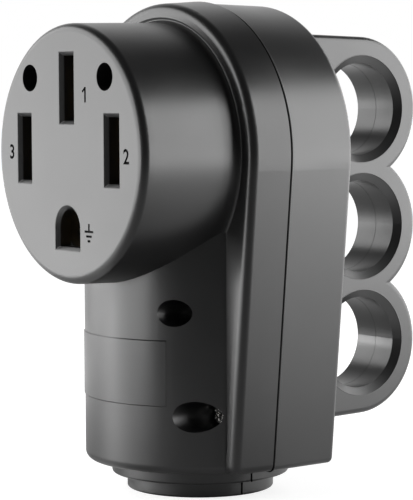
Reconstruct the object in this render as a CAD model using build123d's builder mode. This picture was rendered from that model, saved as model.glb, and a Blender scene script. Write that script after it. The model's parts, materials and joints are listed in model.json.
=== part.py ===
"""Caravan power plug: the socket end of a four-pole 50 A site lead, with a finger handle.

Frame: the origin is the centre of the cord collar's bottom face. +Z runs up the cord axis,
the mating face looks toward -Y and the three finger rings stand off the back, toward +Y.
All sizes are in millimetres.
"""

import os
from math import cos, radians, sin, tan

from build123d import *

os.makedirs("parts", exist_ok=True)

# Body outline, seen along Y: a round top and two sides that lean in toward the foot
OUTLINE_DROP = 0.4
FRONT_OUTLINE_R = 35.3
REAR_OUTLINE_R = 34.9
SIDE_LEAN = 5.5
FRONT_DRAFT = 4.2
REAR_DRAFT = 1.0
BODY_FOOT_Z = 7.0
SEAM_Y = -1.0
SHOULDER_Y = -11.5
BACK_Y = 17.6
CROWN_RISE = 4.5
CROWN_WIDTH = 15.0
CROWN_FILLET = 6.0
WALL = 2.6
SHOULDER_FILLET = 2.0
BACK_FILLET = 1.4
COLUMN_FOOT_FILLET = 2.0

# Shoulder step: a shallow floor inside a raised rim
RIM_WIDTH = 3.1
RIM_STEP = 0.4
RIM_SLOPE = 50.0

# Barrel and mating face
FACE_Y = -37.1
BARREL_Z = 79.2
BARREL_FACE_R = 29.3
BARREL_NECK_R = 29.75
NECK_LENGTH = 4.5
NECK_RISE = 0.7
FACE_FILLET = 2.0
FACE_THICKNESS = 3.6
SLOT_MOUTH_CHAMFER = 0.9

# Contact places on the mating face, with their heights from the barrel's axis
LINE_X = 17.6
LINE_RISE = 1.05
NEUTRAL_RISE = 14.8
GROUND_DROP = 16.6
SLOT_WIDTH = 4.3
SLOT_HEIGHT = 14.6
GROUND_HOLE_R = 4.2
GROUND_HOLE_DROP = 4.3

# Column under the barrel
COLUMN_R = 27.1

# Cord collar
COLLAR_UPPER_R = 20.9
COLLAR_LOWER_R = 17.3
COLLAR_STEP_Z = 3.7
COLLAR_BORE_R = 14.8
COLLAR_EDGE = 0.5

# Housing screws, driven from the front into posts of the rear cover
FACE_SCREW_INSET = 6.41
FACE_SCREW_ANGLE = 48.72
UPPER_SCREW_X = 17.6
UPPER_SCREW_Z = 43.6
LOWER_SCREW_X = 20.85
LOWER_SCREW_Z = 20.2
SCREW_WELL_R = 3.05
LOWER_WELL_R = 3.5
WELL_WALL = 1.5
SCREW_SEAT_Y = -7.6
SCREW_R = 1.75
SCREW_HEAD_R = 2.8
SCREW_HEAD_H = 2.4
SCREW_HEAD_EDGE = 0.7
SCREW_POINT = 0.6
SCREW_LENGTH = 17.0
POST_WALL = 2.4

# Finger handle
HANDLE_THICKNESS = 15.8
RING_Y = 44.25
RING_TOP_Z = 88.77
RING_PITCH = 28.74
RING_COUNT = 3
RING_OUTER_R = 17.6
FINGER_R = 11.25
FINGER_RIM_WIDTH = 1.85
FINGER_RIM_DEPTH = 1.35
HANDLE_EDGE_FILLET = 1.4
HANDLE_SLOPE = 1.3

# Contact carrier and retainer
CARRIER_LENGTH = 18.0
RETAINER_THICKNESS = 3.0
RETAINER_SCREW_X = 13.5
RETAINER_SCREW_DROP = 14.7
RETAINER_SCREW_R = 1.5
RETAINER_SCREW_LENGTH = 14.0
HOLD_POST_X = 8.5
HOLD_POST_DROP = 7.7
HOLD_POST_R = 2.5

# Contacts
CONTACT_HEIGHT = 13.6
CONTACT_SHEET = 1.0
CONTACT_THROAT = 1.8
CONTACT_FLARE = 1.0
CONTACT_LIP = 3.0
CONTACT_SETBACK = 3.0
FLANGE_THICKNESS = 1.5
FLANGE_HALF_WIDTH = 4.2
FLANGE_HALF_HEIGHT = 7.0
GROUND_SLEEVE_R = 5.0
GROUND_PIN_R = 3.6
GROUND_FLANGE_HALF = 6.0
GROUND_SLIT = 1.2
BLOCK_HALF_WIDTH = 4.5
BLOCK_HALF_HEIGHT = 5.0
BLOCK_REACH = 3.0

# Wire clamps on the terminal blocks
CLAMP_PLATE = 1.6
CLAMP_GAP = 2.4
CLAMP_LEG = 1.5
TERMINAL_SCREW_LENGTH = 9.0
DRIVER_SLOT_WIDTH = 1.0
DRIVER_SLOT_DEPTH = 1.0

# Cord clamp and grommet
CORD_R = 12.7
CLAMP_Z = 32.0
CLAMP_HALF_HEIGHT = 4.0
STRAP_THICKNESS = 1.6
STRAP_FOOT_X = 18.5
STRAP_FOOT_END = 22.5
CLAMP_BOSS_R = 3.6
CLAMP_SCREW_LENGTH = 11.0
CRADLE_RIB = 2.0
CRADLE_RIB_SPREAD = 2.6
CRADLE_TOP_Y = -3.0
GROMMET_BORE_R = 13.0
GROMMET_FLANGE_R = 17.5
GROMMET_FLANGE_H = 2.0
GROMMET_EDGE = 0.5

# Seam tongue and stiffening ribs
TONGUE_INSET = 1.4
TONGUE_HEIGHT = 1.8
GROOVE_DEPTH = 2.1
RIB = 1.6
RIB_HEIGHT = 3.0

# Clearances
SLIP = 0.3
THREAD_GAP = 0.05
TONGUE_GAP = 0.15
SHANK_GAP = 0.25

# Sizes that follow from the ones above
OUTLINE_Z = BARREL_Z - OUTLINE_DROP
LINE_Z = BARREL_Z + LINE_RISE
NEUTRAL_Z = BARREL_Z + NEUTRAL_RISE
GROUND_Z = BARREL_Z - GROUND_DROP
FACE_SCREW_REACH = BARREL_FACE_R - FACE_SCREW_INSET
FACE_SCREW_X = FACE_SCREW_REACH * cos(radians(FACE_SCREW_ANGLE))
FACE_SCREW_Z = BARREL_Z + FACE_SCREW_REACH * sin(radians(FACE_SCREW_ANGLE))
RETAINER_SCREW_Z = BARREL_Z - RETAINER_SCREW_DROP
HOLD_POST_Z = BARREL_Z - HOLD_POST_DROP
LEAN = radians(SIDE_LEAN)
FLOOR_Z = BODY_FOOT_Z + WALL
CROWN_Y = BACK_Y + CROWN_RISE
INNER_BACK_Y = CROWN_Y - WALL
SHOULDER_FLOOR_Y = SHOULDER_Y + RIM_STEP
SHOULDER_INNER_Y = SHOULDER_Y + WALL
SHOULDER_DEPTH = SEAM_Y - SHOULDER_Y
SHOULDER_OUTLINE_R = FRONT_OUTLINE_R - SHOULDER_DEPTH * tan(radians(FRONT_DRAFT))
BARREL_BORE_R = BARREL_FACE_R - WALL
FACE_INNER_Y = FACE_Y + FACE_THICKNESS
CARRIER_R = BARREL_BORE_R - SLIP
CARRIER_REAR_Y = FACE_INNER_Y + CARRIER_LENGTH
RETAINER_REAR_Y = CARRIER_REAR_Y + RETAINER_THICKNESS
FLANGE_FRONT_Y = CARRIER_REAR_Y - FLANGE_THICKNESS
CONTACT_FRONT_Y = FACE_INNER_Y + CONTACT_SETBACK
BLOCK_REAR_Y = RETAINER_REAR_Y + BLOCK_REACH
CLAMP_REAR_Y = BLOCK_REAR_Y + CLAMP_GAP + CLAMP_PLATE
SCREW_TIP_Y = SCREW_SEAT_Y + SCREW_LENGTH
RING_HEIGHTS = [RING_TOP_Z - index * RING_PITCH for index in range(RING_COUNT)]
HANDLE_TOP_Z = RING_HEIGHTS[0] + RING_OUTER_R
HANDLE_FOOT_Z = RING_HEIGHTS[-1] - RING_OUTER_R
HANDLE_RISE = (RING_Y - INNER_BACK_Y) * tan(radians(HANDLE_SLOPE))
STRAP_TOP_Y = SEAM_Y + STRAP_THICKNESS
REAR_BACK_OUTLINE_R = REAR_OUTLINE_R - (BACK_Y - SEAM_Y) * tan(radians(REAR_DRAFT))
CROWN_OUTLINE_R = REAR_BACK_OUTLINE_R - CROWN_WIDTH
TONGUE_R = FRONT_OUTLINE_R - TONGUE_INSET - TONGUE_GAP
TONGUE_FOOT_Z = BODY_FOOT_Z + TONGUE_INSET + TONGUE_GAP
POCKET_HALF_WIDTH = CONTACT_THROAT / 2 + CONTACT_FLARE + CONTACT_SHEET + SLIP
TERMINAL_SCREW_DEPTH = TERMINAL_SCREW_LENGTH - CLAMP_PLATE - CLAMP_GAP

# Where each group of screws sits, as (x, z), with the radius of its well
SCREW_PLACES = {
    "face_screw": (FACE_SCREW_X, FACE_SCREW_Z, SCREW_WELL_R),
    "upper_housing_screw": (UPPER_SCREW_X, UPPER_SCREW_Z, SCREW_WELL_R),
    "lower_housing_screw": (LOWER_SCREW_X, LOWER_SCREW_Z, LOWER_WELL_R),
}

# Blade contacts, as (x, z) of the blade's middle
BLADE_PLACES = {
    "line_contact_left": (-LINE_X, LINE_Z),
    "line_contact_right": (LINE_X, LINE_Z),
    "neutral_contact": (0.0, NEUTRAL_Z),
}

# Terminals, as (x, z) of each tapped block
TERMINAL_PLACES = {
    "line_left": (-LINE_X, LINE_Z),
    "line_right": (LINE_X, LINE_Z),
    "neutral": (0.0, NEUTRAL_Z),
    "ground": (0.0, GROUND_Z),
}


def looking_front(y):
    """Sketch plane at depth y with its normal toward the mating face (-Y)."""
    return Plane(origin=(0, y, 0), x_dir=(1, 0, 0), z_dir=(0, -1, 0))


def looking_back(y):
    """Sketch plane at depth y with its normal toward the handle (+Y)."""
    return Plane(origin=(0, y, 0), x_dir=(-1, 0, 0), z_dir=(0, 1, 0))


def both_sides(x, z):
    """The left and right place of a mirrored pair."""
    return [(-x, z), (x, z)]


def is_bore_rim(edge):
    """True for the round edge of a finger hole."""
    return abs(edge.radius - FINGER_R) < THREAD_GAP


def outline(plane, radius, foot_z):
    """Body outline: a round top of this radius and straight sides that lean in to foot_z."""
    side_x = radius * cos(LEAN)
    side_z = OUTLINE_Z - radius * sin(LEAN)
    foot_x = side_x - (side_z - foot_z) * tan(LEAN)
    with BuildSketch(plane) as shape:
        with BuildLine():
            Line((-foot_x, foot_z), (foot_x, foot_z))
            Line((foot_x, foot_z), (side_x, side_z))
            ThreePointArc((side_x, side_z), (0, OUTLINE_Z + radius), (-side_x, side_z))
            Line((-side_x, side_z), (-foot_x, foot_z))
        make_face()
    return shape.sketch


def screw(seat, length, shank_r, head_r):
    """Slotted pan-head screw: its head stands on the seat plane and its shank goes down."""
    along = Axis(seat.origin, seat.z_dir)
    with BuildPart() as made:
        with BuildSketch(seat):
            Circle(head_r)
        extrude(amount=SCREW_HEAD_H)
        fillet(made.faces().sort_by(along)[-1].edges(), SCREW_HEAD_EDGE)
        with BuildSketch(seat.offset(SCREW_HEAD_H)):
            Rectangle(2 * head_r, DRIVER_SLOT_WIDTH)
        extrude(amount=-DRIVER_SLOT_DEPTH, mode=Mode.SUBTRACT)
        with BuildSketch(seat):
            Circle(shank_r)
        extrude(amount=-length)
        chamfer(made.faces().sort_by(along)[0].edges(), SCREW_POINT)
    return made.part


def collar_section():
    """Half section of the stepped cord collar, from its foot up to the body's floor."""
    with BuildSketch(Plane.XZ) as shape:
        with BuildLine():
            Polyline((0, 0), (COLLAR_LOWER_R, 0), (COLLAR_LOWER_R, COLLAR_STEP_Z),
                     (COLLAR_UPPER_R, COLLAR_STEP_Z), (COLLAR_UPPER_R, FLOOR_Z), (0, FLOOR_Z),
                     close=True)
        make_face()
        outer_corners = [shape.vertices().sort_by_distance((COLLAR_LOWER_R, 0))[0],
                         shape.vertices().sort_by_distance((COLLAR_UPPER_R, COLLAR_STEP_Z))[0]]
        fillet(outer_corners, COLLAR_EDGE)
    return shape.sketch


def column_section():
    """Half section of the column, with its rounded foot."""
    with BuildSketch(Plane.XZ) as shape:
        with Locations((0, BODY_FOOT_Z)):
            Rectangle(COLUMN_R, BARREL_Z - BODY_FOOT_Z, align=(Align.MIN, Align.MIN))
        fillet(shape.vertices().sort_by_distance((COLUMN_R, BODY_FOOT_Z))[0], COLUMN_FOOT_FILLET)
    return shape.sketch


def barrel_section():
    """Half section of the barrel about its own axis: face edge, drafted side and flared neck."""
    neck_y = SHOULDER_FLOOR_Y - NECK_LENGTH
    neck_z = BARREL_Z + BARREL_NECK_R
    foot_z = neck_z + NECK_RISE
    with BuildSketch(Plane.YZ) as shape:
        with BuildLine():
            Polyline((SHOULDER_INNER_Y, BARREL_Z), (FACE_Y, BARREL_Z),
                     (FACE_Y, BARREL_Z + BARREL_FACE_R), (neck_y, neck_z))
            EllipticalCenterArc((neck_y, foot_z), NECK_LENGTH, NECK_RISE, -90, arc_size=90)
            Polyline((SHOULDER_FLOOR_Y, foot_z), (SHOULDER_INNER_Y, foot_z),
                     (SHOULDER_INNER_Y, BARREL_Z))
        make_face()
        face_corner = shape.vertices().sort_by_distance((FACE_Y, BARREL_Z + BARREL_FACE_R))[0]
        fillet(face_corner, FACE_FILLET)
    return shape.sketch


def body_half(plane, radius, far_plane, far_radius, edge_fillet):
    """Solid of one body half: the outline drafted from the seam to its far face, edges rounded."""
    seam_middle = plane.origin + Vector(0, 0, OUTLINE_Z)
    far_middle = far_plane.origin + Vector(0, 0, OUTLINE_Z)
    with BuildPart() as half:
        loft([outline(plane, radius, BODY_FOOT_Z), outline(far_plane, far_radius, BODY_FOOT_Z)])
        seam_edges = half.faces().filter_by(Axis.Y).sort_by_distance(seam_middle)[0].edges()
        far_edges = half.faces().filter_by(Axis.Y).sort_by_distance(far_middle)[0].edges()
        foot_edges = half.faces().sort_by(Axis.Z)[0].edges()
        fillet(ShapeList(set(far_edges + foot_edges) - set(seam_edges)), edge_fillet)
    return half.part


def crowned_back():
    """Solid of the rear half: the drafted body with a low crown that rises toward the handle."""
    with BuildPart() as half:
        loft([outline(looking_back(SEAM_Y), REAR_OUTLINE_R, BODY_FOOT_Z),
              outline(looking_back(BACK_Y), REAR_BACK_OUTLINE_R, BODY_FOOT_Z)])
        loft([outline(looking_back(BACK_Y), REAR_BACK_OUTLINE_R, BODY_FOOT_Z),
              outline(looking_back(CROWN_Y), CROWN_OUTLINE_R, BODY_FOOT_Z)])
        faces_along = half.faces().filter_by(Axis.Y).sort_by(Axis.Y)
        foot_edges = half.faces().filter_by(Axis.Z).edges()
        fillet(ShapeList(set(faces_along[-1].edges()) - set(foot_edges)), CROWN_FILLET)
        faces_along = half.faces().filter_by(Axis.Y).sort_by(Axis.Y)
        foot_edges = half.faces().filter_by(Axis.Z).edges()
        rim_edges = half.edges().filter_by(lambda edge: abs(edge.center().Y - BACK_Y) < SLIP)
        fillet(ShapeList(set(rim_edges + foot_edges) - set(faces_along[0].edges())), BACK_FILLET)
    return half.part


# The hollow inside the front housing, with the screw wells, bosses and ribs left standing
with BuildPart() as front_space:
    loft([outline(looking_front(SEAM_Y), FRONT_OUTLINE_R - WALL, FLOOR_Z),
          outline(looking_front(SHOULDER_INNER_Y), SHOULDER_OUTLINE_R - WALL, FLOOR_Z)])
    with BuildSketch(Plane.XY.offset(FLOOR_Z)):
        Circle(COLUMN_R - WALL)
    extrude(amount=BARREL_Z - FLOOR_Z)
    with BuildSketch(looking_front(SEAM_Y)):
        with Locations((0, BARREL_Z)):
            Circle(BARREL_BORE_R)
    extrude(amount=SEAM_Y - FACE_INNER_Y)
    split(bisect_by=looking_front(SEAM_Y), keep=Keep.TOP)
    for place_x, place_z, well_r in SCREW_PLACES.values():
        with BuildSketch(looking_front(SEAM_Y)):
            with Locations(*both_sides(place_x, place_z)):
                Circle(well_r + WELL_WALL)
        extrude(amount=SEAM_Y - FACE_Y, mode=Mode.SUBTRACT)
    with BuildSketch(looking_front(SEAM_Y)):
        with Locations(*both_sides(STRAP_FOOT_X, CLAMP_Z)):
            Circle(CLAMP_BOSS_R)
    extrude(amount=SEAM_Y - FACE_Y, mode=Mode.SUBTRACT)
    for rib_z in (CLAMP_Z - CRADLE_RIB_SPREAD, CLAMP_Z + CRADLE_RIB_SPREAD):
        with BuildSketch(Plane.XY.offset(rib_z - CRADLE_RIB / 2)):
            with Locations((0, CRADLE_TOP_Y)):
                Rectangle(2 * COLUMN_R, COLUMN_R, align=(Align.CENTER, Align.MAX))
            Circle(CORD_R + SLIP, mode=Mode.SUBTRACT)
        extrude(amount=CRADLE_RIB, mode=Mode.SUBTRACT)

# Front housing: open barrel, stepped shoulder, column and the front half of the collar
with BuildPart() as front_housing:
    add(body_half(looking_front(SEAM_Y), FRONT_OUTLINE_R,
                  looking_front(SHOULDER_Y), SHOULDER_OUTLINE_R, SHOULDER_FILLET))
    extrude(outline(looking_back(SHOULDER_Y), SHOULDER_OUTLINE_R - RIM_WIDTH, 0),
            amount=RIM_STEP, taper=RIM_SLOPE, mode=Mode.SUBTRACT)
    revolve(column_section(), axis=Axis.Z)
    revolve(barrel_section(), axis=Axis((0, 0, BARREL_Z), (0, 1, 0)))
    revolve(collar_section(), axis=Axis.Z)
    split(bisect_by=looking_front(SEAM_Y), keep=Keep.TOP)
    split(bisect_by=looking_front(FACE_INNER_Y), keep=Keep.BOTTOM)
    add(front_space.part, mode=Mode.SUBTRACT)
    with BuildSketch(Plane.XY):
        Circle(COLLAR_BORE_R)
    extrude(amount=FLOOR_Z, mode=Mode.SUBTRACT)
    extrude(outline(looking_front(SEAM_Y), FRONT_OUTLINE_R - TONGUE_INSET,
                    BODY_FOOT_Z + TONGUE_INSET), amount=GROOVE_DEPTH, mode=Mode.SUBTRACT)
    for place_x, place_z, well_r in SCREW_PLACES.values():
        with BuildSketch(looking_front(SCREW_SEAT_Y)):
            with Locations(*both_sides(place_x, place_z)):
                Circle(well_r)
        extrude(amount=SCREW_SEAT_Y - FACE_Y, mode=Mode.SUBTRACT)
        with BuildSketch(looking_front(SEAM_Y)):
            with Locations(*both_sides(place_x, place_z)):
                Circle(SCREW_R + SHANK_GAP)
        extrude(amount=SEAM_Y - SCREW_SEAT_Y, mode=Mode.SUBTRACT)
    with BuildSketch(looking_front(SEAM_Y)):
        with Locations(*both_sides(STRAP_FOOT_X, CLAMP_Z)):
            Circle(SCREW_R + THREAD_GAP)
    extrude(amount=CLAMP_SCREW_LENGTH, mode=Mode.SUBTRACT)
front_housing.part.label = "front_housing"
export_step(front_housing.part, "parts/front_housing.step")

# Socket face: the plate that closes the barrel, with the blade slots and the ground opening
with BuildPart() as socket_face:
    revolve(barrel_section(), axis=Axis((0, 0, BARREL_Z), (0, 1, 0)))
    split(bisect_by=looking_front(FACE_INNER_Y), keep=Keep.TOP)
    with BuildSketch(looking_front(FACE_INNER_Y)):
        with Locations(*both_sides(FACE_SCREW_X, FACE_SCREW_Z)):
            Circle(SCREW_WELL_R)
        with Locations(*BLADE_PLACES.values()):
            Rectangle(SLOT_WIDTH, SLOT_HEIGHT)
        with Locations((0, GROUND_Z)):
            Circle(GROUND_HOLE_R)
            Rectangle(2 * GROUND_HOLE_R, GROUND_HOLE_DROP, align=(Align.CENTER, Align.MAX))
    extrude(amount=FACE_THICKNESS, mode=Mode.SUBTRACT)
    mating_face = socket_face.faces().sort_by(Axis.Y)[0]
    mouths = [loop for loop in mating_face.inner_wires() if len(loop.edges()) > 2]
    chamfer([edge for loop in mouths for edge in loop.edges()], SLOT_MOUTH_CHAMFER)
socket_face.part.label = "socket_face"
export_step(socket_face.part, "parts/socket_face.step")

# The hollow inside the rear cover, with the screw posts, hold-down posts and ribs left standing
with BuildPart() as rear_space:
    extrude(outline(looking_back(SEAM_Y), REAR_BACK_OUTLINE_R - WALL, FLOOR_Z),
            amount=BACK_Y - WALL - SEAM_Y)
    loft([outline(looking_back(BACK_Y - WALL), REAR_BACK_OUTLINE_R - WALL, FLOOR_Z),
          outline(looking_back(INNER_BACK_Y), CROWN_OUTLINE_R - WALL, FLOOR_Z)])
    for place_x, place_z, _ in SCREW_PLACES.values():
        with BuildSketch(looking_back(SEAM_Y)):
            with Locations(*both_sides(place_x, place_z)):
                Circle(SCREW_R + POST_WALL)
        extrude(amount=INNER_BACK_Y - SEAM_Y, mode=Mode.SUBTRACT)
    for rib_z in RING_HEIGHTS:
        with BuildSketch(looking_back(INNER_BACK_Y - RIB_HEIGHT)):
            with Locations((0, rib_z)):
                Rectangle(2 * REAR_OUTLINE_R, RIB)
        extrude(amount=RIB_HEIGHT, mode=Mode.SUBTRACT)
    with BuildSketch(looking_back(INNER_BACK_Y - RIB_HEIGHT)):
        with Locations((-HANDLE_THICKNESS / 2, OUTLINE_Z), (HANDLE_THICKNESS / 2, OUTLINE_Z)):
            Rectangle(RIB, 4 * REAR_OUTLINE_R)
    extrude(amount=RIB_HEIGHT, mode=Mode.SUBTRACT)

# Rear cover: body half, rear half of the collar and the three-ring handle in one moulding
with BuildPart() as rear_cover:
    with BuildSketch(Plane.YZ.offset(-HANDLE_THICKNESS / 2)):
        for ring_z in RING_HEIGHTS:
            with Locations((RING_Y, ring_z)):
                Circle(RING_OUTER_R)
        with BuildLine():
            Polyline((RING_Y, HANDLE_FOOT_Z), (RING_Y, HANDLE_TOP_Z),
                     (INNER_BACK_Y, HANDLE_TOP_Z + HANDLE_RISE),
                     (INNER_BACK_Y, HANDLE_FOOT_Z - HANDLE_RISE), close=True)
        make_face()
    extrude(amount=HANDLE_THICKNESS)
    handle_sides = rear_cover.faces().filter_by(Axis.X)
    root_edges = rear_cover.faces().sort_by(Axis.Y)[0].edges()
    fillet(ShapeList(set(handle_sides.edges()) - set(root_edges)), HANDLE_EDGE_FILLET)
    with BuildSketch(Plane.YZ.offset(-HANDLE_THICKNESS / 2)):
        for ring_z in RING_HEIGHTS:
            with Locations((RING_Y, ring_z)):
                Circle(FINGER_R)
    extrude(amount=HANDLE_THICKNESS, mode=Mode.SUBTRACT)
    for side_face in rear_cover.faces().filter_by(Axis.X):
        bore_rims = side_face.edges().filter_by(GeomType.CIRCLE).filter_by(is_bore_rim)
        chamfer(bore_rims, FINGER_RIM_WIDTH, FINGER_RIM_DEPTH, reference=side_face)
    add(crowned_back())
    revolve(collar_section(), axis=Axis.Z)
    split(bisect_by=looking_back(SEAM_Y), keep=Keep.TOP)
    add(rear_space.part, mode=Mode.SUBTRACT)
    with BuildSketch(Plane.XY):
        Circle(COLLAR_BORE_R)
    extrude(amount=FLOOR_Z, mode=Mode.SUBTRACT)
    extrude(outline(looking_front(SEAM_Y), TONGUE_R, TONGUE_FOOT_Z), amount=TONGUE_HEIGHT)
    extrude(outline(looking_front(SEAM_Y), REAR_BACK_OUTLINE_R - WALL, FLOOR_Z),
            amount=TONGUE_HEIGHT, mode=Mode.SUBTRACT)
    with BuildSketch(looking_back(SEAM_Y - TONGUE_HEIGHT)):
        Rectangle(2 * COLLAR_BORE_R, 2 * FLOOR_Z)
    extrude(amount=TONGUE_HEIGHT, mode=Mode.SUBTRACT)
    for place_x, place_z, _ in SCREW_PLACES.values():
        with BuildSketch(looking_back(SEAM_Y)):
            with Locations(*both_sides(place_x, place_z)):
                Circle(SCREW_R + THREAD_GAP)
        extrude(amount=SCREW_TIP_Y - SEAM_Y + SLIP, mode=Mode.SUBTRACT)
    with BuildSketch(looking_back(RETAINER_REAR_Y + SLIP)):
        with Locations(*both_sides(HOLD_POST_X, HOLD_POST_Z)):
            Circle(HOLD_POST_R)
    extrude(amount=INNER_BACK_Y - RETAINER_REAR_Y - SLIP)
rear_cover.part.label = "rear_cover"
export_step(rear_cover.part, "parts/rear_cover.step")

# Contact carrier: a moulded block in the barrel with a pocket behind each opening of the face
with BuildPart() as contact_carrier:
    with BuildSketch(looking_back(FACE_INNER_Y)):
        with Locations((0, BARREL_Z)):
            Circle(CARRIER_R)
        with Locations(*both_sides(FACE_SCREW_X, FACE_SCREW_Z)):
            Circle(SCREW_WELL_R + WELL_WALL + SLIP, mode=Mode.SUBTRACT)
    extrude(amount=CARRIER_LENGTH)
    with BuildSketch(looking_back(FACE_INNER_Y)):
        with Locations(*BLADE_PLACES.values()):
            Rectangle(2 * POCKET_HALF_WIDTH, CONTACT_HEIGHT + 2 * SLIP)
        with Locations((0, GROUND_Z)):
            Circle(GROUND_SLEEVE_R + SLIP)
    extrude(amount=CARRIER_LENGTH, mode=Mode.SUBTRACT)
    with BuildSketch(looking_back(FLANGE_FRONT_Y)):
        with Locations(*BLADE_PLACES.values()):
            Rectangle(2 * (FLANGE_HALF_WIDTH + SLIP), 2 * (FLANGE_HALF_HEIGHT + SLIP))
        with Locations((0, GROUND_Z)):
            Rectangle(2 * (GROUND_FLANGE_HALF + SLIP), 2 * (GROUND_FLANGE_HALF + SLIP))
    extrude(amount=FLANGE_THICKNESS, mode=Mode.SUBTRACT)
    with BuildSketch(looking_front(CARRIER_REAR_Y)):
        with Locations(*both_sides(RETAINER_SCREW_X, RETAINER_SCREW_Z)):
            Circle(RETAINER_SCREW_R + THREAD_GAP)
    extrude(amount=RETAINER_SCREW_LENGTH, mode=Mode.SUBTRACT)
contact_carrier.part.label = "contact_carrier"
export_step(contact_carrier.part, "parts/contact_carrier.step")

# Retainer: the plate that closes the carrier and holds the contacts in by their flanges
with BuildPart() as contact_retainer:
    with BuildSketch(looking_back(CARRIER_REAR_Y)):
        with Locations((0, BARREL_Z)):
            Circle(CARRIER_R)
        with Locations(*both_sides(FACE_SCREW_X, FACE_SCREW_Z)):
            Circle(SCREW_WELL_R + WELL_WALL + SLIP, mode=Mode.SUBTRACT)
        with Locations(*TERMINAL_PLACES.values()):
            Rectangle(2 * (BLOCK_HALF_WIDTH + SLIP), 2 * (BLOCK_HALF_HEIGHT + SLIP),
                      mode=Mode.SUBTRACT)
        with Locations(*both_sides(RETAINER_SCREW_X, RETAINER_SCREW_Z)):
            Circle(RETAINER_SCREW_R + SHANK_GAP, mode=Mode.SUBTRACT)
    extrude(amount=RETAINER_THICKNESS)
contact_retainer.part.label = "contact_retainer"
export_step(contact_retainer.part, "parts/contact_retainer.step")


def terminal_block(x, z, half_width, half_height):
    """Flange that the retainer traps, and the tapped block that stands out behind it."""
    with BuildPart() as block:
        with BuildSketch(looking_front(CARRIER_REAR_Y)):
            with Locations((x, z)):
                Rectangle(2 * half_width, 2 * half_height)
        extrude(amount=FLANGE_THICKNESS)
        with BuildSketch(looking_front(BLOCK_REAR_Y)):
            with Locations((x, z)):
                Rectangle(2 * BLOCK_HALF_WIDTH, 2 * BLOCK_HALF_HEIGHT)
        extrude(amount=BLOCK_REAR_Y - CARRIER_REAR_Y)
        with BuildSketch(looking_front(BLOCK_REAR_Y)):
            with Locations((x, z)):
                Circle(SCREW_R + THREAD_GAP)
        extrude(amount=TERMINAL_SCREW_DEPTH + SLIP, mode=Mode.SUBTRACT)
    return block.part


# Blade contacts: a folded clip with a flared mouth, on the block that takes the wire
for name, (contact_x, contact_z) in BLADE_PLACES.items():
    with BuildPart() as blade_contact:
        add(terminal_block(contact_x, contact_z, FLANGE_HALF_WIDTH, FLANGE_HALF_HEIGHT))
        for side in (-1, 1):
            with BuildSketch(Plane.XY.offset(contact_z - CONTACT_HEIGHT / 2)):
                with BuildLine():
                    throat_x = contact_x + side * CONTACT_THROAT / 2
                    mouth_x = throat_x + side * CONTACT_FLARE
                    sheet = side * CONTACT_SHEET
                    Polyline((throat_x, FLANGE_FRONT_Y), (throat_x, CONTACT_FRONT_Y + CONTACT_LIP),
                             (mouth_x, CONTACT_FRONT_Y), (mouth_x + sheet, CONTACT_FRONT_Y),
                             (throat_x + sheet, CONTACT_FRONT_Y + CONTACT_LIP),
                             (throat_x + sheet, FLANGE_FRONT_Y), close=True)
                make_face()
            extrude(amount=CONTACT_HEIGHT)
    blade_contact.part.label = name
    export_step(blade_contact.part, f"parts/{name}.step")

# Ground contact: a slit sleeve round the pin, on the same kind of block
with BuildPart() as ground_contact:
    add(terminal_block(0, GROUND_Z, GROUND_FLANGE_HALF, GROUND_FLANGE_HALF))
    with BuildSketch(looking_front(FLANGE_FRONT_Y)):
        with Locations((0, GROUND_Z)):
            Circle(GROUND_SLEEVE_R)
            Circle(GROUND_PIN_R, mode=Mode.SUBTRACT)
            Rectangle(4 * GROUND_SLEEVE_R, GROUND_SLIT, mode=Mode.SUBTRACT)
    extrude(amount=FLANGE_FRONT_Y - CONTACT_FRONT_Y)
ground_contact.part.label = "ground_contact"
export_step(ground_contact.part, "parts/ground_contact.step")

# Wire clamps and terminal screws: a channel-shaped plate pulled onto each terminal block
for name, (terminal_x, terminal_z) in TERMINAL_PLACES.items():
    with BuildPart() as wire_clamp:
        with BuildSketch(looking_back(BLOCK_REAR_Y)):
            with Locations((-terminal_x, terminal_z)):
                Rectangle(2 * BLOCK_HALF_WIDTH, 2 * BLOCK_HALF_HEIGHT)
        extrude(amount=CLAMP_GAP + CLAMP_PLATE)
        with BuildSketch(looking_back(BLOCK_REAR_Y)):
            with Locations((-terminal_x, terminal_z)):
                Rectangle(2 * (BLOCK_HALF_WIDTH - CLAMP_LEG), 2 * BLOCK_HALF_HEIGHT)
        extrude(amount=CLAMP_GAP, mode=Mode.SUBTRACT)
        with BuildSketch(looking_back(BLOCK_REAR_Y)):
            with Locations((-terminal_x, terminal_z)):
                Circle(SCREW_R + SHANK_GAP)
        extrude(amount=CLAMP_GAP + CLAMP_PLATE, mode=Mode.SUBTRACT)
    wire_clamp.part.label = f"{name}_clamp"
    export_step(wire_clamp.part, f"parts/{name}_clamp.step")

    terminal_seat = Plane(origin=(terminal_x, CLAMP_REAR_Y, terminal_z), x_dir=(-1, 0, 0),
                          z_dir=(0, 1, 0))
    terminal_screw = screw(terminal_seat, TERMINAL_SCREW_LENGTH, SCREW_R, SCREW_HEAD_R)
    terminal_screw.label = f"{name}_screw"
    export_step(terminal_screw, f"parts/{name}_screw.step")

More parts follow.
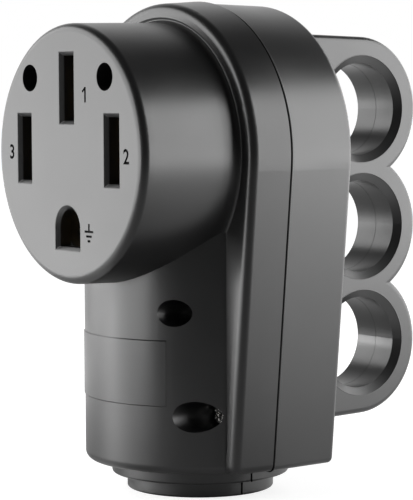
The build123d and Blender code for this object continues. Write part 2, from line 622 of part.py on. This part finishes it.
# Cord clamp: an arched strap behind the cord, its feet on two bosses of the front housing
with BuildPart() as cord_clamp:
    with BuildSketch(Plane.XY.offset(CLAMP_Z - CLAMP_HALF_HEIGHT)):
        Circle(CORD_R + STRAP_THICKNESS)
        with Locations((0, SEAM_Y)):
            Rectangle(2 * STRAP_FOOT_END, STRAP_THICKNESS, align=(Align.CENTER, Align.MIN))
            Rectangle(2 * STRAP_FOOT_END, STRAP_FOOT_END, align=(Align.CENTER, Align.MAX),
                      mode=Mode.SUBTRACT)
        Circle(CORD_R, mode=Mode.SUBTRACT)
    extrude(amount=2 * CLAMP_HALF_HEIGHT)
    with BuildSketch(looking_back(SEAM_Y)):
        with Locations(*both_sides(STRAP_FOOT_X, CLAMP_Z)):
            Circle(SCREW_R + SHANK_GAP)
    extrude(amount=STRAP_THICKNESS, mode=Mode.SUBTRACT)
cord_clamp.part.label = "cord_clamp"
export_step(cord_clamp.part, "parts/cord_clamp.step")

# Grommet: a rubber sleeve in the collar, with a flange that rests on the floor inside
with BuildPart() as cord_grommet:
    with BuildSketch(Plane.XY):
        Circle(COLLAR_BORE_R - TONGUE_GAP)
    extrude(amount=FLOOR_Z)
    with BuildSketch(Plane.XY.offset(FLOOR_Z)):
        Circle(GROMMET_FLANGE_R)
    extrude(amount=GROMMET_FLANGE_H)
    fillet(cord_grommet.faces().sort_by(Axis.Z)[-1].edges(), GROMMET_EDGE)
    with BuildSketch(Plane.XY):
        Circle(GROMMET_BORE_R)
    extrude(amount=FLOOR_Z + GROMMET_FLANGE_H, mode=Mode.SUBTRACT)
cord_grommet.part.label = "cord_grommet"
export_step(cord_grommet.part, "parts/cord_grommet.step")

# Housing, clamp and retainer screws, one left and one right of each
SCREW_ROWS = [
    (name, place_x, place_z, looking_front(SCREW_SEAT_Y), SCREW_LENGTH, SCREW_R)
    for name, (place_x, place_z, _) in SCREW_PLACES.items()
]
SCREW_ROWS.append(("cord_clamp_screw", STRAP_FOOT_X, CLAMP_Z, looking_back(STRAP_TOP_Y),
                   CLAMP_SCREW_LENGTH, SCREW_R))
SCREW_ROWS.append(("retainer_screw", RETAINER_SCREW_X, RETAINER_SCREW_Z,
                   looking_back(RETAINER_REAR_Y), RETAINER_SCREW_LENGTH, RETAINER_SCREW_R))
for name, place_x, place_z, seat, length, shank_r in SCREW_ROWS:
    for side, side_x in (("left", -place_x), ("right", place_x)):
        seat_here = Plane(origin=(side_x, seat.origin.Y, place_z), x_dir=seat.x_dir,
                          z_dir=seat.z_dir)
        housing_screw = screw(seat_here, length, shank_r, SCREW_HEAD_R)
        housing_screw.label = f"{name}_{side}"
        export_step(housing_screw, f"parts/{name}_{side}.step")
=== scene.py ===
"""Looks, lights and camera for the caravan power plug."""
import json
from math import cos, degrees, hypot, pi, radians, sin, tan

import bmesh
import bpy
from mathutils import Matrix, Vector


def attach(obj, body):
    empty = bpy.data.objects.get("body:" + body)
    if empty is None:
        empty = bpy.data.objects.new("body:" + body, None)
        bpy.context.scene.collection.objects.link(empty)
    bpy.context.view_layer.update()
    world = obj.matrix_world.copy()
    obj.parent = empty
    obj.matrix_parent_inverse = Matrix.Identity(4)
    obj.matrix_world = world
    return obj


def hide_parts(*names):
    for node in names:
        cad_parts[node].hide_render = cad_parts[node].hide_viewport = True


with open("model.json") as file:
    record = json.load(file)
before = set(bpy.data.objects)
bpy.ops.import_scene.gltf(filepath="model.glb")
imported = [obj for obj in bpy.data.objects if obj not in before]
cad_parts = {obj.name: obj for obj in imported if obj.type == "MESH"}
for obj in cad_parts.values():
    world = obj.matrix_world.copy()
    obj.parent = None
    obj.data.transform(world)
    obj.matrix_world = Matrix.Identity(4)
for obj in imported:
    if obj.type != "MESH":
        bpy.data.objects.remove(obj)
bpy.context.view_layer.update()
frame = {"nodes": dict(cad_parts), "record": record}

MM = 0.001
NODES = frame["nodes"]

# Sizes of the part that the added pieces sit on, in millimetres
FACE_Y = -37.1
BARREL_Z = 79.2
COLUMN_R = 27.1
SEAM_Y = -1.0
REAR_OUTLINE_R = 34.9
OUTLINE_Z = 78.8
LEAN_DEGREES = 5.5
BODY_FOOT_Z = 7.0
FOOT_FILLET = 1.5
COLLAR_UPPER_R = 20.9
COLLAR_LOWER_R = 17.3
COLLAR_STEP_Z = 3.7
RING_Y = 44.25
RING_HEIGHTS = (88.77, 60.03, 31.29)
FINGER_R = 11.25
RIM_R = 13.1
HANDLE_HALF = 7.9

# Lines and lips laid on the housings, in millimetres
SEAM_SINK = 0.12
SEAM_GAP_BACK = 0.48
SEAM_GAP_R = 0.3
SEAM_EDGE_BACK = 0.86
SEAM_EDGE_R = 0.25
COLLAR_OVERLAP = 0.3
COLLAR_GAP_FOOT_Z = 0.2
COLLAR_GAP_UPPER_R = 0.2
COLLAR_GAP_LOWER_R = 0.18
BORE_LINE_X = 0.3
BORE_LINE_R = 0.05
LIP_SINK = 0.1
LIP_R = 0.15

# Bare panel on the column, in millimetres and degrees
PANEL_HALF_ANGLE = 37.0
PANEL_FOOT_Z = 22.3
PANEL_TOP_Z = 37.5
PANEL_RISE = 0.22
PANEL_SLOPE = 0.3
PANEL_MARGIN = 4.0
PANEL_EDGE_SINK = 0.04
PANEL_BACK_SINK = 0.5
PANEL_STEPS = 36

# Generic marks on the mating face, in millimetres
MARK_DEPTH = 0.45
DIGIT_SIZE = 4.6
DIGIT_SWELL = 0.09
# Digits from the font: text, x, z
DIGITS = (("2", 23.2, 78.9), ("3", -23.0, 79.2))
# Bars of the digit one and of the earth sign: x, z, width, height, tilt in degrees
ONE_BARS = ((7.5, 92.5, 0.62, 3.4, 0), (6.95, 93.6, 0.5, 1.5, 50))
EARTH_BARS = (
    (8.6, 63.1, 0.6, 1.6, 0),
    (8.6, 62.15, 3.4, 0.5, 0),
    (8.6, 61.1, 2.2, 0.5, 0),
    (8.6, 60.05, 1.1, 0.5, 0),
)

# Softened edges round the openings of the mating face, in millimetres and degrees
MOUTH_ANGLE = 25.0
MOUTH_REACH = 26.2
MOUTH_DEPTH = 1.2
MOUTH_BEVEL = 0.13
MOUTH_SEGMENTS = 2

# Angles in degrees from which an edge is shaded sharp
FACE_SHARP_ANGLE = 32.0
PANEL_SHARP_ANGLE = 20.0

# Noise that the materials share: scales in cycles per metre, depth in metres, spans of its value
TONE_SCALE = 90.0
GLOSS_SCALE = 45.0
GRAIN_SCALE = 5200.0
GRAIN_DEPTH = 0.00005
TONE_SPAN = (0.3, 0.75)
GLOSS_SPAN = (0.3, 0.7)

# Floor: half its width in metres, and its grey
FLOOR_HALF = 6.0
FLOOR_GREY = 0.42

# Camera, fitted to the photo's edges
CAMERA_PLACE = Vector((394.904, -297.793, 92.168)) * MM
CAMERA_AZIMUTH = radians(52.781)
CAMERA_ELEVATION = radians(4.200)
CAMERA_ROLL = radians(-0.265)
FOCAL_PIXELS = 2101.585
PHOTO_HEIGHT = 500
SENSOR = 36.0


def new_object(name, data):
    obj = bpy.data.objects.new(name, data)
    bpy.context.scene.collection.objects.link(obj)
    return obj


def camera_axes():
    az, el, roll = CAMERA_AZIMUTH, CAMERA_ELEVATION, CAMERA_ROLL
    back = Vector((sin(az) * cos(el), -cos(az) * cos(el), sin(el)))
    level_right = Vector((cos(az), sin(az), 0))
    level_up = back.cross(level_right)
    right = level_right * cos(roll) + level_up * sin(roll)
    up = level_up * cos(roll) - level_right * sin(roll)
    return right, up, back


def make_camera():
    data = bpy.data.cameras.new("camera")
    data.sensor_width = SENSOR
    data.lens = FOCAL_PIXELS / PHOTO_HEIGHT * SENSOR
    data.clip_start = 0.01
    obj = new_object("camera", data)
    turn = Matrix(camera_axes()).transposed()
    obj.matrix_world = Matrix.Translation(CAMERA_PLACE) @ turn.to_4x4()
    bpy.context.scene.camera = obj


# Lights
def softbox(name, angle, height, distance, width, tall, radiance, target, spread=180):
    """Rectangular lamp at this angle to the right of the camera, aimed at the target.

    Lengths are in metres and angles in degrees. A narrow spread acts as a grid.
    """
    _, _, back = camera_axes()
    flat_back = Vector((back.x, back.y, 0)).normalized()
    flat_right = Vector((-flat_back.y, flat_back.x, 0))
    way = flat_back * cos(radians(angle)) + flat_right * sin(radians(angle))
    place = Vector(target) + way * distance
    place.z = height
    data = bpy.data.lights.new(name, "AREA")
    data.shape = "RECTANGLE"
    data.size = width
    data.size_y = tall
    data.energy = radiance * pi * width * tall
    data.spread = radians(spread)
    obj = new_object(name, data)
    turn = (Vector(target) - place).normalized().to_track_quat("-Z", "Y").to_matrix()
    obj.matrix_world = Matrix.Translation(place) @ turn.to_4x4()
    obj.visible_camera = False


def make_lights():
    softbox("softbox_left", angle=-89, height=0.160, distance=0.27, width=0.48, tall=0.305,
            radiance=2.85, target=(0, 0, 0.155))
    softbox("softbox_low", angle=-96, height=0.028, distance=0.24, width=0.50, tall=0.05,
            radiance=1.4, target=(0, 0, -0.035), spread=40)
    softbox("softbox_front", angle=-56, height=0.06, distance=0.45, width=0.07, tall=0.09,
            radiance=3.2, target=(0.02, -0.02, 0.02))
    softbox("softbox_right", angle=82, height=0.210, distance=0.45, width=0.38, tall=0.42,
            radiance=4.1, target=(0, 0, 0.20))
    softbox("softbox_edge", angle=122, height=0.20, distance=0.50, width=0.22, tall=0.46,
            radiance=3.4, target=(0, 0.03, 0.15))


# Nodes: each helper takes sockets or plain values and returns its output socket
def feed(tree, target, value):
    """Link the socket to another one, or set its value."""
    if isinstance(value, bpy.types.NodeSocket):
        tree.links.new(value, target)
    else:
        target.default_value = value


def arithmetic(tree, operation, first, second):
    node = tree.nodes.new("ShaderNodeMath")
    node.operation = operation
    feed(tree, node.inputs[0], first)
    feed(tree, node.inputs[1], second)
    return node.outputs[0]


def vector_length(tree, vector):
    node = tree.nodes.new("ShaderNodeVectorMath")
    node.operation = "LENGTH"
    feed(tree, node.inputs[0], vector)
    return node.outputs["Value"]


def unit_vector(tree, vector):
    node = tree.nodes.new("ShaderNodeVectorMath")
    node.operation = "NORMALIZE"
    feed(tree, node.inputs[0], vector)
    return node.outputs["Vector"]


def dot_product(tree, vector, direction):
    node = tree.nodes.new("ShaderNodeVectorMath")
    node.operation = "DOT_PRODUCT"
    feed(tree, node.inputs[0], vector)
    feed(tree, node.inputs[1], direction)
    return node.outputs["Value"]


def ranged(tree, value, source, target, smooth=False):
    """The value brought from its source span to the target span, and clamped there."""
    node = tree.nodes.new("ShaderNodeMapRange")
    if smooth:
        node.interpolation_type = "SMOOTHSTEP"
    feed(tree, node.inputs["Value"], value)
    for name, number in zip(("From Min", "From Max", "To Min", "To Max"), source + target):
        node.inputs[name].default_value = number
    return node.outputs[0]


def background(tree, strength):
    node = tree.nodes.new("ShaderNodeBackground")
    node.inputs["Color"].default_value = (1, 1, 1, 1)
    feed(tree, node.inputs["Strength"], strength)
    return node.outputs[0]


# Surroundings
def make_world():
    """White to the camera; to the object a dim room with a white wall opposite the camera."""
    world = bpy.data.worlds.new("studio")
    bpy.context.scene.world = world
    world.use_nodes = True
    tree = world.node_tree
    tree.nodes.clear()
    way = tree.nodes.new("ShaderNodeTexCoord").outputs["Generated"]
    away = dot_product(tree, way, -camera_axes()[2])
    room = background(tree, ranged(tree, away, (0.36, 0.92), (0.05, 1.0), smooth=True))
    white = background(tree, 1.0)
    path = tree.nodes.new("ShaderNodeLightPath").outputs
    direct = arithmetic(tree, "MAXIMUM", path["Is Camera Ray"], path["Is Transmission Ray"])
    mix = tree.nodes.new("ShaderNodeMixShader")
    out = tree.nodes.new("ShaderNodeOutputWorld")
    feed(tree, mix.inputs[0], direct)
    feed(tree, mix.inputs[1], room)
    feed(tree, mix.inputs[2], white)
    feed(tree, out.inputs["Surface"], mix.outputs[0])


def floor_glow(tree):
    """Strength of the floor's own light, which only the camera and reflections see, with painted
    shade in it.
    """
    place = tree.nodes.new("ShaderNodeNewGeometry").outputs["Position"]
    distance = vector_length(tree, place)
    way = unit_vector(tree, place)
    toward_camera = dot_product(tree, way, camera_axes()[2])
    leftward = dot_product(tree, way, (-1, 0, 0))
    path = tree.nodes.new("ShaderNodeLightPath").outputs

    # Reflections find the floor darker toward the camera, like the dim room there, and darker
    # close by and on the left: painted shade in what the object reflects
    front = ranged(tree, toward_camera, (0.35, 0.8), (1.0, 0.0), smooth=True)
    close = ranged(tree, distance, (0.06, 0.14), (0.6, 1.0))
    side = ranged(tree, leftward, (0.3, 0.8), (0.0, 0.8), smooth=True)
    reach = ranged(tree, distance, (0.13, 0.20), (1.0, 0.0))
    left = arithmetic(tree, "SUBTRACT", 1.0, arithmetic(tree, "MULTIPLY", side, reach))
    mirrored = path["Is Glossy Ray"]
    for factor in (front, close, left):
        mirrored = arithmetic(tree, "MULTIPLY", mirrored, factor)

    # All of it is a little darker round the object: a painted shadow of the object on the floor
    seen = arithmetic(tree, "MAXIMUM", path["Is Camera Ray"], mirrored)
    painted_shadow = ranged(tree, distance, (0.05, 0.26), (0.80, 1.0))
    return arithmetic(tree, "MULTIPLY", painted_shadow, seen)


def make_floor():
    mesh = bpy.data.meshes.new("floor")
    bm = bmesh.new()
    bmesh.ops.create_grid(bm, x_segments=8, y_segments=8, size=FLOOR_HALF)
    bm.to_mesh(mesh)
    bm.free()
    floor = new_object("floor", mesh)
    mat = bpy.data.materials.new("floor_paper")
    mat.use_nodes = True
    tree = mat.node_tree
    tree.nodes.clear()
    paper = tree.nodes.new("ShaderNodeBsdfDiffuse")
    paper.inputs["Color"].default_value = (FLOOR_GREY, FLOOR_GREY, FLOOR_GREY, 1)
    glow = tree.nodes.new("ShaderNodeEmission")
    feed(tree, glow.inputs["Strength"], floor_glow(tree))
    both = tree.nodes.new("ShaderNodeAddShader")
    out = tree.nodes.new("ShaderNodeOutputMaterial")
    feed(tree, both.inputs[0], paper.outputs[0])
    feed(tree, both.inputs[1], glow.outputs[0])
    feed(tree, out.inputs["Surface"], both.outputs[0])
    mesh.materials.append(mat)


# Materials
def principled(name, color, roughness, metallic=0.0, specular=0.5):
    mat = bpy.data.materials.new(name)
    mat.use_nodes = True
    tree = mat.node_tree
    shader = tree.nodes["Principled BSDF"]
    shader.inputs["Base Color"].default_value = (*color, 1)
    shader.inputs["Roughness"].default_value = roughness
    shader.inputs["Metallic"].default_value = metallic
    shader.inputs["Specular IOR Level"].default_value = specular
    shader.inputs["IOR"].default_value = 1.5
    return mat, tree, shader


def noise(tree, scale, detail):
    """Noise in the frame's own coordinates."""
    coords = tree.nodes.new("ShaderNodeTexCoord")
    node = tree.nodes.new("ShaderNodeTexNoise")
    feed(tree, node.inputs["Scale"], scale)
    feed(tree, node.inputs["Detail"], detail)
    feed(tree, node.inputs["Vector"], coords.outputs["Object"])
    return node.outputs["Fac"]


def add_gloss(tree, shader, pattern, low, high):
    """Roughness that wanders from low to high with the pattern."""
    rough = ranged(tree, pattern, GLOSS_SPAN, (low, high))
    feed(tree, shader.inputs["Roughness"], rough)


def add_bump(tree, shader, pattern, strength, distance):
    bump = tree.nodes.new("ShaderNodeBump")
    feed(tree, bump.inputs["Strength"], strength)
    feed(tree, bump.inputs["Distance"], distance)
    feed(tree, bump.inputs["Height"], pattern)
    feed(tree, shader.inputs["Normal"], bump.outputs[0])


def moulded(name, dark, light, rough_low, rough_high, grain, specular):
    """Moulded plastic or rubber: two close tones, uneven gloss and a fine grain."""
    mat, tree, shader = principled(name, dark, rough_low, specular=specular)
    ramp = tree.nodes.new("ShaderNodeValToRGB")
    stops = ramp.color_ramp.elements
    for stop, place, tone in zip(stops, TONE_SPAN, (dark, light)):
        stop.position = place
        stop.color = (*tone, 1)
    feed(tree, ramp.inputs["Fac"], noise(tree, TONE_SCALE, 3.0))
    feed(tree, shader.inputs["Base Color"], ramp.outputs["Color"])
    add_gloss(tree, shader, noise(tree, GLOSS_SCALE, 4.0), rough_low, rough_high)
    add_bump(tree, shader, noise(tree, GRAIN_SCALE, 2.0), grain, GRAIN_DEPTH)
    return mat


def metal(name, color, rough_low, rough_high, scale, relief=0.15, depth=0.00004):
    """Metal whose gloss and relief follow one fine noise."""
    mat, tree, shader = principled(name, color, rough_low, metallic=1.0)
    fine = noise(tree, scale, 4.0)
    add_gloss(tree, shader, fine, rough_low, rough_high)
    add_bump(tree, shader, fine, relief, depth)
    return mat


def make_finishes():
    """The material of each slot, and two dark ones: for the joint lines, and for the marks' ground
    as painted shade in the recesses.
    """
    return {
        "housing": moulded("satin_black_plastic", (0.0055, 0.0055, 0.0058),
                           (0.0085, 0.0085, 0.0088), 0.30, 0.37, grain=0.12, specular=0.95),
        "carrier": moulded("matt_black_plastic", (0.02, 0.02, 0.021),
                           (0.03, 0.03, 0.031), 0.5, 0.6, grain=0.3, specular=0.5),
        "grommet": moulded("black_rubber", (0.012, 0.012, 0.012),
                           (0.02, 0.02, 0.02), 0.6, 0.75, grain=0.4, specular=0.4),
        "contact": metal("brass", (0.78, 0.6, 0.3), 0.25, 0.4, 900.0),
        "clamp": metal("zinc", (0.6, 0.6, 0.58), 0.35, 0.5, 1200.0),
        "screw": metal("nickel", (0.8, 0.79, 0.77), 0.10, 0.22, 1300.0, relief=1.0, depth=0.0004),
        "joint": moulded("joint_shadow", (0.001, 0.001, 0.001),
                         (0.002, 0.002, 0.002), 0.8, 0.9, grain=0.2, specular=0.1),
        # Near-black ground of the engraved marks: painted shade in the recesses
        "recess_shade": moulded("mark_recess_painted_shade", (0.002, 0.002, 0.002),
                          (0.003, 0.003, 0.003), 0.7, 0.8, grain=0.3, specular=0.2),
    }


# Added pieces
def add_to_housing(piece, material):
    """Give the piece this finish and attach it to the root body."""
    piece.data.materials.append(material)
    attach(piece, "root")


def applied(obj):
    """Mesh of the object with its modifiers, and the object removed."""
    bpy.context.view_layer.update()
    shown = obj.evaluated_get(bpy.context.evaluated_depsgraph_get())
    mesh = bpy.data.meshes.new_from_object(shown)
    bpy.data.objects.remove(obj)
    return mesh


def tube(name, points, radius, closed=False):
    """Round bead of this radius along the points, all in millimetres."""
    curve = bpy.data.curves.new(name, "CURVE")
    curve.dimensions = "3D"
    curve.bevel_depth = radius * MM
    curve.bevel_resolution = 3
    curve.use_fill_caps = True
    line = curve.splines.new("POLY")
    line.points.add(len(points) - 1)
    for spot, point in zip(line.points, points):
        spot.co = (*(c * MM for c in point), 1)
    line.use_cyclic_u = closed
    mesh = applied(new_object(name, curve))
    mesh.name = name
    mesh.shade_smooth()
    return new_object(name, mesh)


def arc(centre, radius, start, end, steps):
    """Points (u, v) of an arc, its angles in degrees from +u toward +v."""
    turns = [radians(start + (end - start) * i / steps) for i in range(steps + 1)]
    return [(centre[0] + radius * cos(t), centre[1] + radius * sin(t)) for t in turns]


def ring(x, height, radius):
    """Points of a circle about the axis of the finger hole at this height."""
    return [(x, y, z) for y, z in arc((RING_Y, height), radius, 0, 360, steps=96)[:-1]]


def seam_path(radius):
    """Points (x, z) round the body's outline, from the left foot over the top to the right one."""
    lean = radians(LEAN_DEGREES)
    side_x = radius * cos(lean)
    side_z = OUTLINE_Z - radius * sin(lean)
    fillet_z = BODY_FOOT_Z + FOOT_FILLET
    foot_x = side_x - (side_z - fillet_z) * tan(lean)
    corner = arc((foot_x - FOOT_FILLET, fillet_z), FOOT_FILLET, -90, -LEAN_DEGREES, steps=6)
    top = arc((0, OUTLINE_Z), radius, -LEAN_DEGREES, 90, steps=60)
    right = [(COLLAR_UPPER_R - COLLAR_OVERLAP, BODY_FOOT_Z), *corner, *top]
    return [(-x, z) for x, z in right] + right[-2::-1]


def make_seam(dark, housing):
    """Dark joint line between the two mouldings, with the lit edge of the rear one behind it."""
    outline = seam_path(REAR_OUTLINE_R - SEAM_SINK)
    gap = [(x, SEAM_Y + SEAM_GAP_BACK, z) for x, z in outline]
    edge = [(x, SEAM_Y + SEAM_EDGE_BACK, z) for x, z in outline]
    add_to_housing(tube("seam_gap", gap, SEAM_GAP_R), dark)
    add_to_housing(tube("seam_edge", edge, SEAM_EDGE_R), housing)
    for word, side in (("left", -1), ("right", 1)):
        upper = [(side * COLLAR_UPPER_R, SEAM_Y, z) for z in (BODY_FOOT_Z, COLLAR_STEP_Z)]
        lower = [(side * COLLAR_LOWER_R, SEAM_Y, z) for z in (COLLAR_STEP_Z, COLLAR_GAP_FOOT_Z)]
        add_to_housing(tube("collar_gap_upper_" + word, upper, COLLAR_GAP_UPPER_R), dark)
        add_to_housing(tube("collar_gap_lower_" + word, lower, COLLAR_GAP_LOWER_R), dark)


def make_bore_lines(housing):
    """Faint parting line of the mould inside each finger hole."""
    for number, height in enumerate(RING_HEIGHTS):
        points = ring(BORE_LINE_X, height, FINGER_R)
        piece = tube("bore_line_%d" % number, points, BORE_LINE_R, closed=True)
        add_to_housing(piece, housing)


def make_ring_lips(housing):
    """Rounded outer edge of each finger hole's chamfer, on both sides of the handle."""
    for number, height in enumerate(RING_HEIGHTS):
        for word, side in (("left", -1), ("right", 1)):
            points = ring(side * (HANDLE_HALF - LIP_SINK), height, RIM_R)
            piece = tube("ring_lip_%s_%d" % (word, number), points, LIP_R, closed=True)
            add_to_housing(piece, housing)


def make_panel(housing):
    """Bare raised field on the front of the column, its four edges sloped."""
    flat_angle = PANEL_HALF_ANGLE - degrees(PANEL_SLOPE / COLUMN_R)
    flat_angles = [flat_angle * (2 * i / PANEL_STEPS - 1) for i in range(PANEL_STEPS + 1)]
    angles = [-PANEL_HALF_ANGLE, *flat_angles, PANEL_HALF_ANGLE]
    foot, top = PANEL_FOOT_Z, PANEL_TOP_Z
    heights = [foot, foot + PANEL_SLOPE, foot + PANEL_MARGIN, (foot + top) / 2,
               top - PANEL_MARGIN, top - PANEL_SLOPE, top]
    bm = bmesh.new()
    rows = []
    for z in heights:
        row = []
        for angle in angles:
            border = z in (foot, top) or abs(angle) == PANEL_HALF_ANGLE
            radius = (COLUMN_R + (-PANEL_EDGE_SINK if border else PANEL_RISE)) * MM
            turn = radians(angle)
            row.append(bm.verts.new((radius * sin(turn), -radius * cos(turn), z * MM)))
        rows.append(row)
    for low, high in zip(rows, rows[1:]):
        for corners in zip(low, low[1:], high[1:], high):
            bm.faces.new(corners)
    back = bmesh.ops.extrude_face_region(bm, geom=bm.faces[:], use_keep_orig=True)
    for item in back["geom"]:
        if isinstance(item, bmesh.types.BMVert):
            flat = Vector((item.co.x, item.co.y, 0)).normalized()
            item.co.x = flat.x * (COLUMN_R - PANEL_BACK_SINK) * MM
            item.co.y = flat.y * (COLUMN_R - PANEL_BACK_SINK) * MM
    bmesh.ops.recalc_face_normals(bm, faces=bm.faces)
    mesh = bpy.data.meshes.new("blank_panel")
    bm.to_mesh(mesh)
    bm.free()
    mesh.shade_smooth()
    mesh.set_sharp_from_angle(angle=radians(PANEL_SHARP_ANGLE))
    add_to_housing(new_object("blank_panel", mesh), housing)


# Marked face
def digit_mesh(text, x, z):
    """Solid digit that stands across the mating face at this place."""
    curve = bpy.data.curves.new("mark", "FONT")
    curve.body = text
    curve.size = DIGIT_SIZE * MM
    curve.extrude = MARK_DEPTH * MM
    curve.offset = DIGIT_SWELL * MM
    curve.align_x = "CENTER"
    curve.align_y = "CENTER"
    curve.resolution_u = 3
    mesh = applied(new_object("mark", curve))
    upright = Matrix(((1, 0, 0), (0, 0, -1), (0, 1, 0))).to_4x4()
    mesh.transform(Matrix.Translation(Vector((x, FACE_Y, z)) * MM) @ upright)
    return mesh


def mark_cutter():
    """Solid of the generic marks beside the openings: three numbers and an earth sign."""
    bm = bmesh.new()
    for text, x, z in DIGITS:
        bm.from_mesh(digit_mesh(text, x, z))
    for x, z, width, height, tilt in ONE_BARS + EARTH_BARS:
        turn = Matrix.Rotation(radians(tilt), 4, "Y")
        for vert in bmesh.ops.create_cube(bm, size=1.0)["verts"]:
            corner = (vert.co.x * width, vert.co.y * 2 * MARK_DEPTH, vert.co.z * height)
            vert.co = (turn @ Vector(corner) + Vector((x, FACE_Y, z))) * MM
    bmesh.ops.remove_doubles(bm, verts=bm.verts, dist=1e-6)
    bmesh.ops.recalc_face_normals(bm, faces=bm.faces)
    mesh = bpy.data.meshes.new("mark_cutter")
    bm.to_mesh(mesh)
    bm.free()
    return new_object("mark_cutter", mesh)


def is_mouth(edge):
    """Whether this is a sharp edge where an opening meets the front of the mating face."""
    if not edge.is_manifold or edge.calc_face_angle() < radians(MOUTH_ANGLE):
        return False
    spots = [vert.co for vert in edge.verts]
    inside = all(hypot(spot.x, spot.z - BARREL_Z * MM) < MOUTH_REACH * MM for spot in spots)
    front = all(spot.y < (FACE_Y + MOUTH_DEPTH) * MM for spot in spots)
    return inside and front


def softened_face():
    """Copy of the socket face's mesh with the edges of its openings rounded."""
    mesh = NODES["socket_face"].data.copy()
    mesh.name = "marked_face"
    bm = bmesh.new()
    bm.from_mesh(mesh)
    bmesh.ops.remove_doubles(bm, verts=bm.verts, dist=2e-6)
    bmesh.ops.dissolve_limit(bm, angle_limit=radians(0.5), verts=bm.verts, edges=bm.edges)
    mouths = [edge for edge in bm.edges if is_mouth(edge)]
    bmesh.ops.bevel(bm, geom=mouths, offset=MOUTH_BEVEL * MM, segments=MOUTH_SEGMENTS,
                    profile=0.5, affect="EDGES")
    bm.to_mesh(mesh)
    bm.free()
    if "custom_normal" in mesh.attributes:
        mesh.attributes.remove(mesh.attributes["custom_normal"])
    return mesh


def carved(mesh, cutter):
    """Mesh less the cutter, worked out in millimetres because the cut is too fine in metres."""
    obj = new_object("marked_face", mesh)
    for data in (mesh, cutter.data):
        data.transform(Matrix.Scale(1 / MM, 4))
    cut = obj.modifiers.new("marks", "BOOLEAN")
    cut.operation = "DIFFERENCE"
    cut.solver = "EXACT"
    cut.use_self = True
    cut.object = cutter
    made = applied(obj)
    bpy.data.objects.remove(cutter)
    made.transform(Matrix.Scale(MM, 4))
    return made


def evenly_shaded(mesh):
    """Mesh shaded smooth between its sharp edges, with large faces kept flat."""
    mesh.shade_smooth()
    mesh.set_sharp_from_angle(angle=radians(FACE_SHARP_ANGLE))
    obj = new_object("marked_face", mesh)
    even = obj.modifiers.new("even", "WEIGHTED_NORMAL")
    even.mode = "FACE_AREA"
    even.weight = 90
    even.keep_sharp = True
    return applied(obj)


def make_marked_face(housing, recess_shade):
    """Copy of the socket face with softened slot edges and the marks cut into it, the marks'
    ground painted near black as shade.
    """
    mesh = evenly_shaded(carved(softened_face(), mark_cutter()))
    mesh.name = "marked_face"
    piece = new_object("marked_face", mesh)
    mesh.materials.clear()
    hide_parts("socket_face")
    add_to_housing(piece, housing)
    mesh.materials.append(recess_shade)
    # The mark ground faces take the near-black finish: painted shade in the recesses
    ground_y = (FACE_Y + MARK_DEPTH) * MM
    for side in mesh.polygons:
        sunk = abs(side.center.y - ground_y) < 0.02 * MM
        side.material_index = 1 if sunk and side.normal.y < -0.9 else 0


def dress():
    finishes = make_finishes()
    slots = {row["node"]: row["material_slot"] for row in frame["record"]["subparts"]}
    for name, obj in NODES.items():
        obj.data.materials.clear()
        obj.data.materials.append(finishes[slots[name]])
    housing = finishes["housing"]
    make_seam(finishes["joint"], housing)
    make_bore_lines(housing)
    make_ring_lips(housing)
    make_panel(housing)
    make_marked_face(housing, finishes["recess_shade"])


make_camera()
make_lights()
make_world()
make_floor()
dress()
scene = bpy.context.scene
scene.view_settings.view_transform = "Standard"
